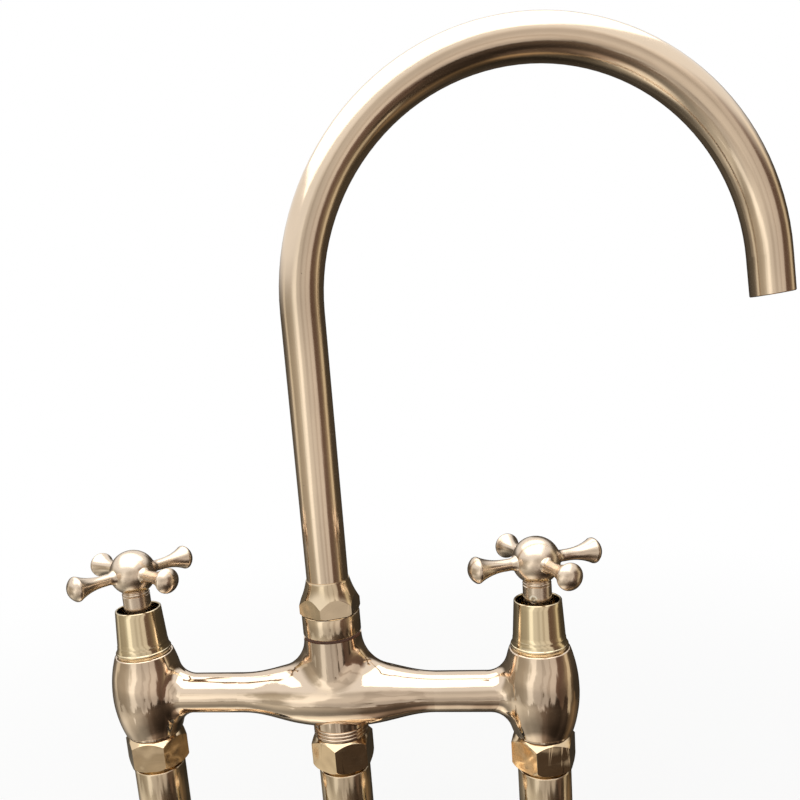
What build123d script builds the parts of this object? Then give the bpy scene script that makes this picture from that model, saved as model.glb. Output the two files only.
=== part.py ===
from build123d import *
from math import cos, radians, sin
import os

# Three-legged bridge kitchen faucet in solid brass, with a swivelling gooseneck spout.
#
# Millimetres, +Z up. The origin lies on the deck, on the spout's swivel axis. The bridge runs
# along X, with the hot valve at -X and the cold valve at +X, and the user stands at -Y.
# Profiles of the valves, hub and legs are drawn with heights from the bridge tube's axis.

os.makedirs("parts", exist_ok=True)

# Overall layout
COLUMN_PITCH = 101.6  # spout axis to each valve axis: 8 inches between hot and cold
BRIDGE_HEIGHT = 85.0  # bridge tube's axis above the deck
SPOUT_ANGLE = 11.9  # spout turned from +X towards the wall
HOT_ARM_ANGLE = 58.0  # first arm of the hot cross handle, from +X
COLD_ARM_ANGLE = 26.6
COLUMNS = {"hot": -COLUMN_PITCH, "centre": 0.0, "cold": COLUMN_PITCH}
VALVES = {"hot": (-COLUMN_PITCH, HOT_ARM_ANGLE), "cold": (COLUMN_PITCH, COLD_ARM_ANGLE)}

# Bridge casting, heights from the bridge axis
TUBE_R = 10.1
WATERWAY_R = 6.8
BELLY_R = 17.0  # thickest point of the hub, under the spout
BELLY_REACH = 50.0  # where the hub has tapered back to the tube
BARREL_TOP = 23.0
BARREL_BOTTOM = -20.0
BARREL_RIM_R = 14.6
BARREL_EDGE = 0.8  # rounding of the barrel's two rims
BARREL_R = 18.3
BARREL_WAIST = 1.2  # height where the barrel is widest
BARREL_BLEND = 11.0
CHAMBER_R = 10.2
SEAT = -9.0  # chamber floor, where the cartridge seals
INLET_R = 6.5
HUB_TOP = 31.3
HUB_NECK_R = 14.4
HUB_BLEND = 18.0  # long trumpet curve from the neck out to the tube
SOCKET_THREAD_R = 11.4
SOCKET_THREAD_BOTTOM = 18.7
SOCKET_WELL_R = 10.6  # well below the thread, open to the waterway
NECK_R = 13.3  # short necks between the casting and its union nuts
NECK_BOTTOM = -21.4
BEADS = (-16.6, -18.4, -20.2)  # three turned beads round the neck under the hub
BEAD_R = 13.9
BEAD_HALF = 0.7  # half the height of a bead
SPIGOT_R = 11.6  # threaded spigot that the union nut screws onto
SPIGOT_BOTTOM = -28.0

# Union joints between the casting and its legs
NUT_TOP = -21.6
NUT_TOP_R = 13.4
NUT_CONE_BOTTOM = -24.8  # where the coned top meets the hexagon's corners
NUT_ROUND_TOP = -34.0  # start of the rounded foot
NUT_BOTTOM = -37.6
NUT_BOTTOM_R = 14.5
NUT_CORNER_R = 16.4
NUT_LEDGE = -33.0
TAIL_STEM_R = 9.8
TAIL_FLANGE_R = 11.4
TAIL_FLANGE = 3.0
TAIL_BOTTOM = -49.0
TAIL_BORE_R = 7.0
NUT_TURN = {"hot": 7.5, "centre": 29.0, "cold": 17.0}

# Legs and deck fixings, heights from the deck
LEG_R = 13.1
LEG_TOP = BRIDGE_HEIGHT - 39.8
LEG_FOOT = 4.0
LEG_BORE_R = 11.3
TAIL_SOCKET = 10.0  # depth of the leg's upper socket, where the tail is brazed
FLANGE_R = 25.0
FLANGE_TOP = 9.0
FLANGE_RIM = 3.2
FLANGE_NECK_R = 15.2
FLANGE_NECK_FOOT = 7.4  # where the neck's cove begins
GASKET_R = 22.0
GASKET_THICKNESS = 2.0
THREAD_R = 10.48  # G 1/2 thread, at its crest
PLAIN_SHANK_R = 10.1
SHANK_HOLE_R = 10.9
SHANK_TOP = 16.0
PLAIN_SHANK_BOTTOM = -22.0
THREAD_RELIEF = -44.0
SHANK_BOTTOM = -62.0
DECK_THICKNESS = 30.0
PAD_THICKNESS = 2.0
WASHER_THICKNESS = 2.0
WASHER_R = 19.0
BACKNUT_FLATS = 30.0
BACKNUT_HEIGHT = 8.0

# Quarter-turn cartridge, heights from the bridge axis
DISC_R = 7.1
CAVITY_R = 7.2
CAVITY_TOP = 4.0
FIXED_DISC_BOTTOM = -7.0
DISC_JOINT = -4.4  # plane where the two ceramic discs rub
TURNING_DISC_TOP = -2.0
TURNING_R = 6.8
SPINDLE_R = 4.0
SPINDLE_BORE_R = 4.05
BONNET_FLATS = 21.0
BONNET_HEX_TOP = BARREL_TOP + 4.0
BONNET_SLEEVE_R = 8.6
BONNET_SLEEVE_BOTTOM = -8.4
BONNET_SHOULDER = 8.0  # foot of the threaded part, above the water windows
SEAL_GROOVE_R = 9.0
SEAL_GROOVE_BOTTOM = BARREL_TOP - 2.2
SEAL_R = 0.58
BONNET_COLLAR_R = 9.9
BONNET_COLLAR_TOP = 31.0
BONNET_STEM_R = 7.2
BONNET_TOP = 37.5
WINDOW_BOTTOM = -4.2
WINDOW_TOP = 3.4
PORT_INNER_R = 1.8  # water ports through both discs
PORT_OUTER_R = 5.6
PORT_SPAN = 76.0
SPINDLE_GROOVE = (27.0, 28.4)
SPINDLE_GROOVE_R = 2.9
SPINDLE_SEAL_R = 0.55
SPINDLE_PLATE = (2.2, 3.8)  # plate that rests in the top of the cavity
CLIP_BOTTOM = 37.8
CLIP_THICKNESS = 0.7
CLIP_GROOVE_R = 3.25
SQUARE = 6.4  # square head of the spindle, across its flats
SQUARE_TOP = 51.5

# Cross handle and shroud
BALL_R = 11.5
BALL_HEIGHT = 66.1
BALL_CUT = 57.4  # angle below the ball's middle where it meets its bead
HANDLE_NECK_R = 6.85
HANDLE_BEAD = 55.3  # height of the bead between ball and neck
HANDLE_BOTTOM = 39.2
ARM_SEAT = 10.85  # spot face on the ball, from the ball's centre
ARM_TIP = 34.6
ARM_DOME_R = 7.3
ARM_FOOT_R = 3.9
ARM_WAIST_R = 2.9
ARM_WAIST = (14.6, 17.0)  # straight part between foot and flare, from the ball's centre
ARM_FLARE = (29.4, 5.95)  # reach and radius where the trumpet flare meets the domed end
ARM_STUD_R = 2.05
ARM_STUD_END = 5.5
GRUB_HEIGHT = 48.9
GRUB_R = 2.0
SHROUD_TOP = 47.1
SHROUD_TOP_R = 11.4
SHROUD_BORE_R = 10.3
SHROUD_WAIST_R = 12.6
SHROUD_WAIST = 28.6  # foot of the straight taper, where the flare steps out
SHROUD_LIP_R = 13.85
SHROUD_LIP = 24.7  # height of the rounded lip
SHROUD_GROOVE_R = 13.0
SHROUD_POCKET_R = 12.3  # clears the bonnet's hexagon

# Swivel joint and gooseneck spout
COLLAR_R = 14.4
COLLAR_BOTTOM = 32.6
COLLAR_TOP = 43.2
SOCKET_TOP = 48.4
THRUST_WASHER = 0.7
CAP_THREAD_R = 12.1
CAP_BOTTOM = 43.4
CAP_FOOT_R = 14.4  # chamfered foot of the cap nut
CAP_CONE_BOTTOM = 48.3  # where the cone meets the hexagon's corners
CAP_TOP = 60.2
CAP_FLATS = 26.6
CAP_CORNER_R = CAP_FLATS / 2 / cos(radians(30))
CAP_TURN = 25.5
STEM_R = 9.95
STEM_BORE_R = 6.5
STEM_BOTTOM = 15.0
STEM_TOP = 60.0
SOCKET_BORE_R = 10.0
STEM_COLLAR_R = 11.6
STEM_COLLAR_BOTTOM = 49.2
STEM_COLLAR_TOP = 51.2
O_RING_HEIGHTS = (24.0, 36.0)
O_RING_R = 0.95
SPOUT_R = 10.3
SPOUT_BORE_R = 8.9
ARC_START = 188.0
ARC_R = 111.5
ARC_ANGLE = 174.0
NOZZLE_LENGTH = 18.5
AERATOR_R = 9.1
AERATOR_DEPTH = 12.0


def upright(x):
    """Profile plane through a column: x outwards from its axis, y up from the bridge axis."""
    return Plane(origin=(x, 0, BRIDGE_HEIGHT), x_dir=(1, 0, 0), z_dir=(0, -1, 0))


def upright_from_deck(x):
    """Profile plane through a column, with y up from the deck."""
    return Plane(origin=(x, 0, 0), x_dir=(1, 0, 0), z_dir=(0, -1, 0))


def level(x, height):
    """Horizontal plane on a column's axis, at a height from the bridge axis."""
    return Plane(origin=(x, 0, BRIDGE_HEIGHT + height))


def column_axis(x):
    return Axis((x, 0, 0), (0, 0, 1))


def fan(inner, outer, middle, span):
    """Sector of a ring, for the water ports of the ceramic discs and cartridge."""
    with BuildSketch() as sector:
        with BuildLine():
            rim = CenterArc((0, 0), outer, middle - span / 2, span)
            root = CenterArc((0, 0), inner, middle - span / 2, span)
            Line(rim @ 0, root @ 0)
            Line(rim @ 1, root @ 1)
        make_face()
    return sector.sketch


# Bridge casting: tube, hub with its swelling belly, and two barrel-shaped valve bodies
with BuildPart() as bridge_body:
    with BuildSketch(upright(0)):
        with BuildLine():
            hub_left = (-BELLY_REACH, TUBE_R)
            hub_right = (BELLY_REACH, TUBE_R)
            Polyline(
                hub_right,
                (COLUMN_PITCH, TUBE_R),
                (COLUMN_PITCH, 0),
                (-COLUMN_PITCH, 0),
                (-COLUMN_PITCH, TUBE_R),
                hub_left,
            )
            Spline(
                hub_left,
                (-24, 14.6),
                (0, BELLY_R),
                (24, 14.6),
                hub_right,
                tangents=((1, 0), (1, 0)),
            )
        make_face()
    revolve(axis=Axis((0, 0, BRIDGE_HEIGHT), (1, 0, 0)))
    # Each barrel's profile is drawn on its outer side, away from the tube
    for x in (-COLUMN_PITCH, COLUMN_PITCH):
        outer_side = Plane(origin=(x, 0, BRIDGE_HEIGHT), x_dir=(x, 0, 0), z_dir=(0, -x, 0))
        with BuildSketch(outer_side) as barrel:
            with BuildLine():
                top_rim = (BARREL_RIM_R, BARREL_TOP)
                bottom_rim = (BARREL_RIM_R, BARREL_BOTTOM)
                ThreePointArc(top_rim, (BARREL_R, BARREL_WAIST), bottom_rim)
                Polyline(bottom_rim, (0, BARREL_BOTTOM), (0, BARREL_TOP), top_rim)
            make_face()
            fillet(barrel.vertices().sort_by(Axis.X)[-2:], BARREL_EDGE)
        revolve(axis=column_axis(x))
    # The hub's neck starts taller than it ends, so that the long blend runs right up it
    with BuildSketch(level(0, 0)):
        Circle(HUB_NECK_R)
    extrude(amount=HUB_TOP + HUB_BLEND)
    # Necks and threaded spigots for the three union nuts; the hub's neck is longer and beaded
    for x in COLUMNS.values():
        with BuildSketch(level(x, 0)):
            Circle(NECK_R)
        extrude(amount=NECK_BOTTOM)
        with BuildSketch(level(x, 0)):
            Circle(SPIGOT_R)
        extrude(amount=SPIGOT_BOTTOM)
    for height in BEADS:
        with BuildSketch(upright(0)):
            with BuildLine():
                foot = (NECK_R, height - BEAD_HALF)
                head = (NECK_R, height + BEAD_HALF)
                ThreePointArc(foot, (BEAD_R, height), head)
                Polyline(head, (SPIGOT_R, height + BEAD_HALF), (SPIGOT_R, height - BEAD_HALF), foot)
            make_face()
        revolve(axis=column_axis(0))
    # Blends of the casting: tube into barrels, and the trumpet curve round the hub
    joins = bridge_body.edges().filter_by(GeomType.BSPLINE)
    fillet(joins.filter_by(lambda edge: abs(edge.center().X) > 60), BARREL_BLEND)
    joins = bridge_body.edges().filter_by(GeomType.BSPLINE)
    fillet(
        joins.filter_by(lambda edge: abs(edge.center().X) < 10 and edge.center().Z > BRIDGE_HEIGHT + 5),
        HUB_BLEND,
    )
    with BuildSketch(level(0, HUB_TOP)):
        Circle(HUB_NECK_R + HUB_BLEND)
    extrude(amount=HUB_BLEND, mode=Mode.SUBTRACT)
    # Cartridge chambers, inlets from below, the waterway along the bridge and the spout socket
    for x in (-COLUMN_PITCH, COLUMN_PITCH):
        with BuildSketch(level(x, SEAT)):
            Circle(CHAMBER_R)
        extrude(amount=BARREL_TOP - SEAT, mode=Mode.SUBTRACT)
        with BuildSketch(level(x, SPIGOT_BOTTOM)):
            Circle(INLET_R)
        extrude(amount=SEAT - SPIGOT_BOTTOM, mode=Mode.SUBTRACT)
    with BuildSketch(Plane(origin=(-COLUMN_PITCH, 0, BRIDGE_HEIGHT), z_dir=(1, 0, 0))):
        Circle(WATERWAY_R)
    extrude(amount=2 * COLUMN_PITCH, mode=Mode.SUBTRACT)
    with BuildSketch(level(0, SOCKET_THREAD_BOTTOM)):
        Circle(SOCKET_THREAD_R)
    extrude(amount=HUB_TOP - SOCKET_THREAD_BOTTOM, mode=Mode.SUBTRACT)
    with BuildSketch(level(0, 0)):
        Circle(SOCKET_WELL_R)
    extrude(amount=SOCKET_THREAD_BOTTOM, mode=Mode.SUBTRACT)
bridge_body.part.label = "bridge_body"
export_step(bridge_body.part, "parts/bridge_body.step")


# Legs: union nut, fibre washer, flanged tail, tube, deck flange, gasket, shank and backnut
for name, x in COLUMNS.items():
    with BuildPart() as leg_nut:
        with BuildSketch(level(x, NUT_BOTTOM)):
            RegularPolygon(NUT_CORNER_R, 6, rotation=NUT_TURN[name])
        extrude(amount=NUT_TOP - NUT_BOTTOM)
        # Coned top and rounded foot, turned after the flats are milled
        with BuildSketch(upright(x)):
            with BuildLine():
                Polyline(
                    (0, NUT_BOTTOM),
                    (0, NUT_TOP),
                    (NUT_TOP_R, NUT_TOP),
                    (NUT_CORNER_R + 0.2, NUT_CONE_BOTTOM),
                    (NUT_CORNER_R + 0.2, NUT_ROUND_TOP),
                )
                ThreePointArc(
                    (NUT_CORNER_R + 0.2, NUT_ROUND_TOP),
                    (NUT_CORNER_R - 0.4, NUT_ROUND_TOP - 2.2),
                    (NUT_BOTTOM_R, NUT_BOTTOM),
                )
                Line((NUT_BOTTOM_R, NUT_BOTTOM), (0, NUT_BOTTOM))
            make_face()
        revolve(axis=column_axis(x), mode=Mode.INTERSECT)
        with BuildSketch(level(x, NUT_LEDGE)):
            Circle(SPIGOT_R)
        extrude(amount=NUT_TOP - NUT_LEDGE, mode=Mode.SUBTRACT)
        with BuildSketch(level(x, NUT_BOTTOM)):
            Circle(TAIL_STEM_R + 0.2)
        extrude(amount=NUT_LEDGE - NUT_BOTTOM, mode=Mode.SUBTRACT)
    leg_nut.part.label = f"{name}_leg_nut"
    export_step(leg_nut.part, f"parts/{name}_leg_nut.step")

    with BuildPart() as union_tail:
        with BuildSketch(level(x, TAIL_BOTTOM)):
            Circle(TAIL_STEM_R)
        extrude(amount=NUT_LEDGE - TAIL_BOTTOM)
        with BuildSketch(level(x, NUT_LEDGE)):
            Circle(TAIL_FLANGE_R)
        extrude(amount=TAIL_FLANGE)
        with BuildSketch(level(x, TAIL_BOTTOM)):
            Circle(TAIL_BORE_R)
        extrude(amount=NUT_LEDGE + TAIL_FLANGE - TAIL_BOTTOM, mode=Mode.SUBTRACT)
    union_tail.part.label = f"{name}_union_tail"
    export_step(union_tail.part, f"parts/{name}_union_tail.step")

    with BuildPart() as leg_tube:
        with BuildSketch(upright_from_deck(x)):
            with BuildLine():
                Polyline(
                    (THREAD_R, LEG_FOOT),
                    (LEG_R, LEG_FOOT),
                    (LEG_R, LEG_TOP - 0.5),
                    (LEG_R - 0.5, LEG_TOP),
                    (TAIL_STEM_R, LEG_TOP),
                    (TAIL_STEM_R, LEG_TOP - TAIL_SOCKET),
                    (LEG_BORE_R, LEG_TOP - TAIL_SOCKET),
                    (LEG_BORE_R, SHANK_TOP + 0.5),
                    (THREAD_R, SHANK_TOP + 0.5),
                    close=True,
                )
            make_face()
        revolve(axis=column_axis(x))
    leg_tube.part.label = f"{name}_leg_tube"
    export_step(leg_tube.part, f"parts/{name}_leg_tube.step")

    with BuildPart() as leg_flange:
        with BuildSketch(upright_from_deck(x)):
            with BuildLine():
                cove_head = (FLANGE_NECK_R, FLANGE_NECK_FOOT)
                cove_foot = (FLANGE_R - 2.0, FLANGE_RIM)
                Polyline(
                    cove_head,
                    (FLANGE_NECK_R, FLANGE_TOP - 0.4),
                    (FLANGE_NECK_R - 0.4, FLANGE_TOP),
                    (LEG_R + 0.1, FLANGE_TOP),
                    (LEG_R + 0.1, LEG_FOOT),
                    (SHANK_HOLE_R, LEG_FOOT),
                    (SHANK_HOLE_R, GASKET_THICKNESS),
                    (GASKET_R + 0.3, GASKET_THICKNESS),
                    (GASKET_R + 0.3, 0.4),
                    (FLANGE_R - 0.4, 0.4),
                    (FLANGE_R, 0.8),
                    (FLANGE_R, FLANGE_RIM - 0.8),
                    (FLANGE_R - 0.8, FLANGE_RIM),
                    cove_foot,
                )
                ThreePointArc(cove_foot, (FLANGE_NECK_R + 2.2, FLANGE_RIM + 1.2), cove_head)
            make_face()
        revolve(axis=column_axis(x))
    leg_flange.part.label = f"{name}_leg_flange"
    export_step(leg_flange.part, f"parts/{name}_leg_flange.step")

    # The shank's plain neck passes the deck; its lower thread takes the supply connector
    with BuildPart() as shank:
        with BuildSketch(upright_from_deck(x)):
            with BuildLine():
                Polyline(
                    (TAIL_BORE_R, SHANK_TOP),
                    (THREAD_R - 0.8, SHANK_TOP),
                    (THREAD_R, SHANK_TOP - 0.8),
                    (THREAD_R, 0),
                    (PLAIN_SHANK_R, 0),
                    (PLAIN_SHANK_R, PLAIN_SHANK_BOTTOM),
                    (THREAD_R, PLAIN_SHANK_BOTTOM),
                    (THREAD_R, THREAD_RELIEF),
                    (THREAD_R - 0.9, THREAD_RELIEF),
                    (THREAD_R - 0.9, THREAD_RELIEF - 1.5),
                    (THREAD_R, THREAD_RELIEF - 1.5),
                    (THREAD_R, SHANK_BOTTOM + 0.8),
                    (THREAD_R - 0.8, SHANK_BOTTOM),
                    (TAIL_BORE_R, SHANK_BOTTOM),
                    close=True,
                )
            make_face()
        revolve(axis=column_axis(x))
    shank.part.label = f"{name}_shank"
    export_step(shank.part, f"parts/{name}_shank.step")

with BuildPart() as union_washers:
    for x in COLUMNS.values():
        with BuildSketch(level(x, NUT_LEDGE + TAIL_FLANGE)):
            Circle(TAIL_FLANGE_R)
            Circle(TAIL_BORE_R, mode=Mode.SUBTRACT)
        extrude(amount=SPIGOT_BOTTOM - NUT_LEDGE - TAIL_FLANGE)
union_washers.part.label = "union_washers"
export_step(union_washers.part, "parts/union_washers.step")

with BuildPart() as flange_gaskets:
    for x in COLUMNS.values():
        with BuildSketch(Plane(origin=(x, 0, 0))):
            Circle(GASKET_R)
            Circle(SHANK_HOLE_R, mode=Mode.SUBTRACT)
        extrude(amount=GASKET_THICKNESS)
flange_gaskets.part.label = "flange_gaskets"
export_step(flange_gaskets.part, "parts/flange_gaskets.step")

with BuildPart() as deck_pads:
    for x in COLUMNS.values():
        with BuildSketch(Plane(origin=(x, 0, -DECK_THICKNESS - PAD_THICKNESS))):
            Circle(WASHER_R - 0.5)
            Circle(SHANK_HOLE_R, mode=Mode.SUBTRACT)
        extrude(amount=PAD_THICKNESS)
deck_pads.part.label = "deck_pads"
export_step(deck_pads.part, "parts/deck_pads.step")

washer_bottom = -DECK_THICKNESS - PAD_THICKNESS - WASHER_THICKNESS
with BuildPart() as deck_washers:
    for x in COLUMNS.values():
        with BuildSketch(Plane(origin=(x, 0, washer_bottom))):
            Circle(WASHER_R)
            Circle(SHANK_HOLE_R, mode=Mode.SUBTRACT)
        extrude(amount=WASHER_THICKNESS)
deck_washers.part.label = "deck_washers"
export_step(deck_washers.part, "parts/deck_washers.step")

with BuildPart() as backnuts:
    for x in COLUMNS.values():
        with BuildSketch(Plane(origin=(x, 0, washer_bottom - BACKNUT_HEIGHT))):
            RegularPolygon(BACKNUT_FLATS / 2, 6, major_radius=False)
            Circle(THREAD_R, mode=Mode.SUBTRACT)
        extrude(amount=BACKNUT_HEIGHT)
backnuts.part.label = "backnuts"
export_step(backnuts.part, "parts/backnuts.step")


# Valves: quarter-turn ceramic cartridge, tapered shroud and cross handle on each side
for name, (x, arm_angle) in VALVES.items():
    grub_angle = {"hot": arm_angle + 45, "cold": arm_angle - 135}[name]

    with BuildPart() as bonnet:
        with BuildSketch(upright(x)):
            with BuildLine():
                Polyline(
                    (CAVITY_R, BONNET_SLEEVE_BOTTOM),
                    (BONNET_SLEEVE_R, BONNET_SLEEVE_BOTTOM),
                    (BONNET_SLEEVE_R, BONNET_SHOULDER),
                    (CHAMBER_R, BONNET_SHOULDER),
                    (CHAMBER_R, SEAL_GROOVE_BOTTOM),
                    (SEAL_GROOVE_R, SEAL_GROOVE_BOTTOM),
                    (SEAL_GROOVE_R, BARREL_TOP),
                    (BONNET_COLLAR_R, BARREL_TOP),
                    (BONNET_COLLAR_R, BONNET_COLLAR_TOP),
                    (BONNET_STEM_R, BONNET_COLLAR_TOP),
                    (BONNET_STEM_R, BONNET_TOP - 0.6),
                    (BONNET_STEM_R - 0.6, BONNET_TOP),
                    (SPINDLE_BORE_R, BONNET_TOP),
                    (SPINDLE_BORE_R, CAVITY_TOP),
                    (CAVITY_R, CAVITY_TOP),
                    close=True,
                )
            make_face()
        revolve(axis=column_axis(x))
        with BuildSketch(level(x, BARREL_TOP)):
            RegularPolygon(BONNET_FLATS / 2, 6, major_radius=False)
            Circle(SPINDLE_BORE_R, mode=Mode.SUBTRACT)
        extrude(amount=BONNET_HEX_TOP - BARREL_TOP)
        # Side windows that let the water out to the bridge
        with BuildSketch(level(x, WINDOW_BOTTOM)):
            for middle in (0, 180):
                add(fan(5.0, 10.0, middle, 100))
        extrude(amount=WINDOW_TOP - WINDOW_BOTTOM, mode=Mode.SUBTRACT)
    bonnet.part.label = f"{name}_bonnet"
    export_step(bonnet.part, f"parts/{name}_bonnet.step")

    with BuildPart() as disc_seal:
        with BuildSketch(level(x, SEAT)):
            Circle(DISC_R - 0.1)
            Circle(PORT_OUTER_R, mode=Mode.SUBTRACT)
        extrude(amount=FIXED_DISC_BOTTOM - SEAT)
    disc_seal.part.label = f"{name}_disc_seal"
    export_step(disc_seal.part, f"parts/{name}_disc_seal.step")

    with BuildPart() as fixed_disc:
        with BuildSketch(level(x, FIXED_DISC_BOTTOM)):
            Circle(DISC_R)
        extrude(amount=DISC_JOINT - FIXED_DISC_BOTTOM)
        with BuildSketch(level(x, FIXED_DISC_BOTTOM)):
            for middle in (90, 270):
                add(fan(PORT_INNER_R, PORT_OUTER_R, middle, PORT_SPAN))
        extrude(amount=DISC_JOINT - FIXED_DISC_BOTTOM, mode=Mode.SUBTRACT)
    fixed_disc.part.label = f"{name}_fixed_disc"
    export_step(fixed_disc.part, f"parts/{name}_fixed_disc.step")

    with BuildPart() as turning_disc:
        with BuildSketch(level(x, DISC_JOINT)):
            Circle(TURNING_R)
        extrude(amount=TURNING_DISC_TOP - DISC_JOINT)
        with BuildSketch(level(x, DISC_JOINT)):
            for middle in (0, 180):
                add(fan(PORT_INNER_R, PORT_OUTER_R, middle, PORT_SPAN))
        extrude(amount=TURNING_DISC_TOP - DISC_JOINT, mode=Mode.SUBTRACT)
        # Notches for the spindle's two driving lugs
        with BuildSketch(level(x, TURNING_DISC_TOP - 1.2)):
            with PolarLocations(TURNING_R - 1.0, 2, start_angle=90):
                Rectangle(3.0, 2.2)
        extrude(amount=1.2, mode=Mode.SUBTRACT)
    turning_disc.part.label = f"{name}_turning_disc"
    export_step(turning_disc.part, f"parts/{name}_turning_disc.step")

    with BuildPart() as spindle:
        with BuildSketch(level(x, TURNING_DISC_TOP)):
            Circle(TURNING_R)
            for middle in (0, 180):
                add(fan(PORT_INNER_R, TURNING_R + 0.5, middle, 90), mode=Mode.SUBTRACT)
        extrude(amount=SPINDLE_PLATE[0] - TURNING_DISC_TOP)
        with BuildSketch(level(x, TURNING_DISC_TOP - 1.1)):
            with PolarLocations(TURNING_R - 1.1, 2, start_angle=90):
                Rectangle(2.0, 2.0)
        extrude(amount=1.1)
        with BuildSketch(level(x, SPINDLE_PLATE[0])):
            Circle(TURNING_R)
        extrude(amount=SPINDLE_PLATE[1] - SPINDLE_PLATE[0])
        with BuildSketch(upright(x)):
            with BuildLine():
                Polyline(
                    (0, SPINDLE_PLATE[0]),
                    (SPINDLE_R, SPINDLE_PLATE[0]),
                    (SPINDLE_R, SPINDLE_GROOVE[0]),
                    (SPINDLE_GROOVE_R, SPINDLE_GROOVE[0]),
                    (SPINDLE_GROOVE_R, SPINDLE_GROOVE[1]),
                    (SPINDLE_R, SPINDLE_GROOVE[1]),
                    (SPINDLE_R, CLIP_BOTTOM),
                    (CLIP_GROOVE_R, CLIP_BOTTOM),
                    (CLIP_GROOVE_R, CLIP_BOTTOM + CLIP_THICKNESS),
                    (SPINDLE_R, CLIP_BOTTOM + CLIP_THICKNESS),
                    (SPINDLE_R, HANDLE_BOTTOM),
                    (0, HANDLE_BOTTOM),
                    close=True,
                )
            make_face()
        revolve(axis=column_axis(x))
        with BuildSketch(level(x, HANDLE_BOTTOM)):
            Rectangle(SQUARE, SQUARE, rotation=grub_angle)
        extrude(amount=SQUARE_TOP - HANDLE_BOTTOM)
    spindle.part.label = f"{name}_spindle"
    export_step(spindle.part, f"parts/{name}_spindle.step")

    with BuildPart() as spindle_seal:
        with BuildSketch(upright(x)):
            with Locations((SPINDLE_GROOVE_R + SPINDLE_SEAL_R, sum(SPINDLE_GROOVE) / 2)):
                Circle(SPINDLE_SEAL_R)
        revolve(axis=column_axis(x))
    spindle_seal.part.label = f"{name}_spindle_seal"
    export_step(spindle_seal.part, f"parts/{name}_spindle_seal.step")

    with BuildPart() as spindle_clip:
        with BuildSketch(level(x, CLIP_BOTTOM)):
            Circle(5.8)
            Circle(CLIP_GROOVE_R, mode=Mode.SUBTRACT)
            with Locations((0, -4.5)):
                Rectangle(3.0, 4.0, mode=Mode.SUBTRACT)
        extrude(amount=CLIP_THICKNESS)
    spindle_clip.part.label = f"{name}_spindle_clip"
    export_step(spindle_clip.part, f"parts/{name}_spindle_clip.step")

    # Tapered sleeve that screws onto the bonnet's collar and hides it
    with BuildPart() as shroud:
        with BuildSketch(upright(x)):
            with BuildLine():
                lip_foot = (SHROUD_GROOVE_R + 0.2, SHROUD_LIP - 0.8)
                lip_head = (SHROUD_GROOVE_R + 0.4, SHROUD_LIP + 0.8)
                flare_foot = (SHROUD_GROOVE_R + 0.3, SHROUD_LIP + 1.1)
                flare_head = (SHROUD_WAIST_R + 0.15, SHROUD_WAIST - 0.1)
                Polyline(
                    lip_foot,
                    (SHROUD_GROOVE_R, SHROUD_LIP - 1.0),
                    (SHROUD_GROOVE_R, BARREL_TOP),
                    (SHROUD_POCKET_R, BARREL_TOP),
                    (SHROUD_POCKET_R, BONNET_HEX_TOP + 0.2),
                    (BONNET_COLLAR_R, BONNET_HEX_TOP + 0.2),
                    (BONNET_COLLAR_R, BONNET_COLLAR_TOP - 0.4),
                    (SHROUD_BORE_R + 0.2, BONNET_COLLAR_TOP + 0.2),
                    (SHROUD_BORE_R, SHROUD_TOP - 0.3),
                    (SHROUD_BORE_R + 0.2, SHROUD_TOP),
                    (SHROUD_TOP_R - 0.3, SHROUD_TOP),
                    (SHROUD_TOP_R, SHROUD_TOP - 0.3),
                    (SHROUD_WAIST_R, SHROUD_WAIST),
                    flare_head,
                )
                ThreePointArc(flare_head, (SHROUD_GROOVE_R - 0.15, SHROUD_LIP + 2.5), flare_foot)
                Line(flare_foot, lip_head)
                ThreePointArc(lip_head, (SHROUD_LIP_R, SHROUD_LIP), lip_foot)
            make_face()
        revolve(axis=column_axis(x))
    shroud.part.label = f"{name}_shroud"
    export_step(shroud.part, f"parts/{name}_shroud.step")

    # Ball with its bead and neck, spot-faced and tapped for four arms, broached for the spindle
    with BuildPart() as handle_hub:
        with BuildSketch(upright(x)):
            with BuildLine():
                ball = CenterArc((0, BALL_HEIGHT), BALL_R, -BALL_CUT, 90 + BALL_CUT)
                bead_head = (HANDLE_NECK_R - 0.55, HANDLE_BEAD + 0.7)
                bead_foot = (HANDLE_NECK_R - 0.5, HANDLE_BEAD - 0.7)
                Line(ball @ 0, bead_head)
                ThreePointArc(bead_head, (HANDLE_NECK_R, HANDLE_BEAD), bead_foot)
                Polyline(
                    bead_foot,
                    (HANDLE_NECK_R, HANDLE_BEAD - 1.1),
                    (HANDLE_NECK_R, HANDLE_BOTTOM + 0.4),
                    (HANDLE_NECK_R - 0.4, HANDLE_BOTTOM),
                    (0, HANDLE_BOTTOM),
                    ball @ 1,
                )
            make_face()
        revolve(axis=column_axis(x))
        with BuildSketch(level(x, HANDLE_BOTTOM)):
            Rectangle(SQUARE, SQUARE, rotation=grub_angle)
        extrude(amount=SQUARE_TOP + 0.3 - HANDLE_BOTTOM, mode=Mode.SUBTRACT)
        for step in range(4):
            angle = radians(arm_angle + 90 * step)
            outward = (cos(angle), sin(angle), 0)
            seat = (x + ARM_SEAT * cos(angle), ARM_SEAT * sin(angle), BRIDGE_HEIGHT + BALL_HEIGHT)
            with BuildSketch(Plane(origin=seat, z_dir=outward)):
                Circle(5.0)
            extrude(amount=2.0, mode=Mode.SUBTRACT)
            with BuildSketch(Plane(origin=seat, z_dir=outward)):
                Circle(ARM_STUD_R)
            extrude(amount=ARM_STUD_END - ARM_SEAT, mode=Mode.SUBTRACT)
        grub_out = (cos(radians(grub_angle)), sin(radians(grub_angle)), 0)
        grub_origin = (x, 0, BRIDGE_HEIGHT + GRUB_HEIGHT)
        with BuildSketch(Plane(origin=grub_origin, z_dir=grub_out)):
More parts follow.
